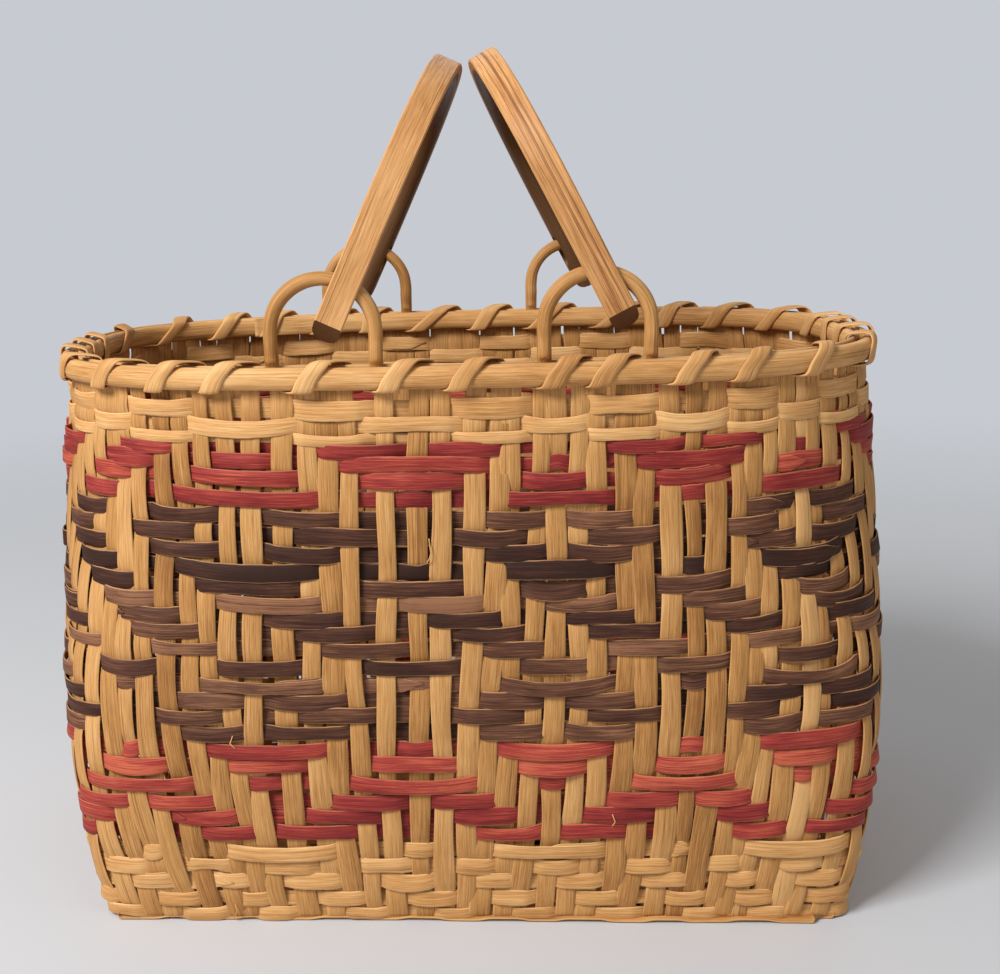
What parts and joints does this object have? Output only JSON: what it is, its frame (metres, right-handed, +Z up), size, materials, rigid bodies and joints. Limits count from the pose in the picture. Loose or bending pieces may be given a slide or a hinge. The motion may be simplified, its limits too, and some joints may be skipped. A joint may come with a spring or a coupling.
{
  "type": "swing-handle splint basket",
  "caption": "Oblong woven oak splint basket with a lashed double rim, bent rod ears and two bail handles that swing on them.",
  "frame": {"origin": "on the table, under the middle of the base", "axes": "+X along the length, +Z up, -Y towards the pictured front"},
  "size_m": [0.3618, 0.2104, 0.3645],
  "materials": {
    "stake_oak": "scraped oak splint, honey coloured, satin",
    "natural_weaver": "undyed oak splint, straw coloured, satin",
    "red_weaver": "oak splint dyed red, worn, satin",
    "brown_weaver": "oak splint dyed walnut brown, worn paler at the edges",
    "rim_oak": "shaved oak hoop, fine straight grain",
    "lashing_oak": "thin oak splint, satin",
    "ear_oak": "whittled oak rod, smooth",
    "handle_oak": "carved oak with dark growth lines, smooth, darker on its inner side"
  },
  "bodies": {
    "basket": {"crosswise_stakes": "stake_oak", "lengthwise_stakes": "stake_oak", "weaver_01_natural": "natural_weaver", "weaver_02_natural": "natural_weaver", "weaver_03_natural": "natural_weaver", "weaver_04_red": "red_weaver", "weaver_05_red": "red_weaver", "weaver_06_red": "red_weaver", "weaver_07_red": "red_weaver", "weaver_08_brown": "brown_weaver", "weaver_09_brown": "brown_weaver", "weaver_10_brown": "brown_weaver", "weaver_11_brown": "brown_weaver", "weaver_12_brown": "brown_weaver", "weaver_13_brown": "brown_weaver", "weaver_14_brown": "brown_weaver", "weaver_15_brown": "brown_weaver", "weaver_16_brown": "brown_weaver", "weaver_17_brown": "brown_weaver", "weaver_18_brown": "brown_weaver", "weaver_19_brown": "brown_weaver", "weaver_20_brown": "brown_weaver", "weaver_21_brown": "brown_weaver", "weaver_22_red": "red_weaver", "weaver_23_red": "red_weaver", "weaver_24_red": "red_weaver", "weaver_25_red": "red_weaver", "weaver_26_red": "red_weaver", "weaver_27_red": "red_weaver", "weaver_28_natural": "natural_weaver", "weaver_29_natural": "natural_weaver", "weaver_30_natural": "natural_weaver", "weaver_31_natural": "natural_weaver", "weaver_32_natural": "natural_weaver", "outer_rim_hoop": "rim_oak", "inner_rim_hoop": "rim_oak", "rim_lashing": "lashing_oak", "ear_front_left": "ear_oak", "ear_front_right": "ear_oak", "ear_back_left": "ear_oak", "ear_back_right": "ear_oak"},
    "handle_left_body": {"handle_left": "handle_oak"},
    "handle_right_body": {"handle_right": "handle_oak"}
  },
  "joints": [
    {"name": "handle_left_swing", "type": "hinge", "parent": "basket", "child": "handle_left_body", "pos_m": [-0.05283, 0, 0.25322], "axis": [0, -1, 0], "range_deg": [0, 117]},
    {"name": "handle_right_swing", "type": "hinge", "parent": "basket", "child": "handle_right_body", "pos_m": [0.05783, 0, 0.25805], "axis": [0, 1, 0], "range_deg": [0, 119]}
  ]
}
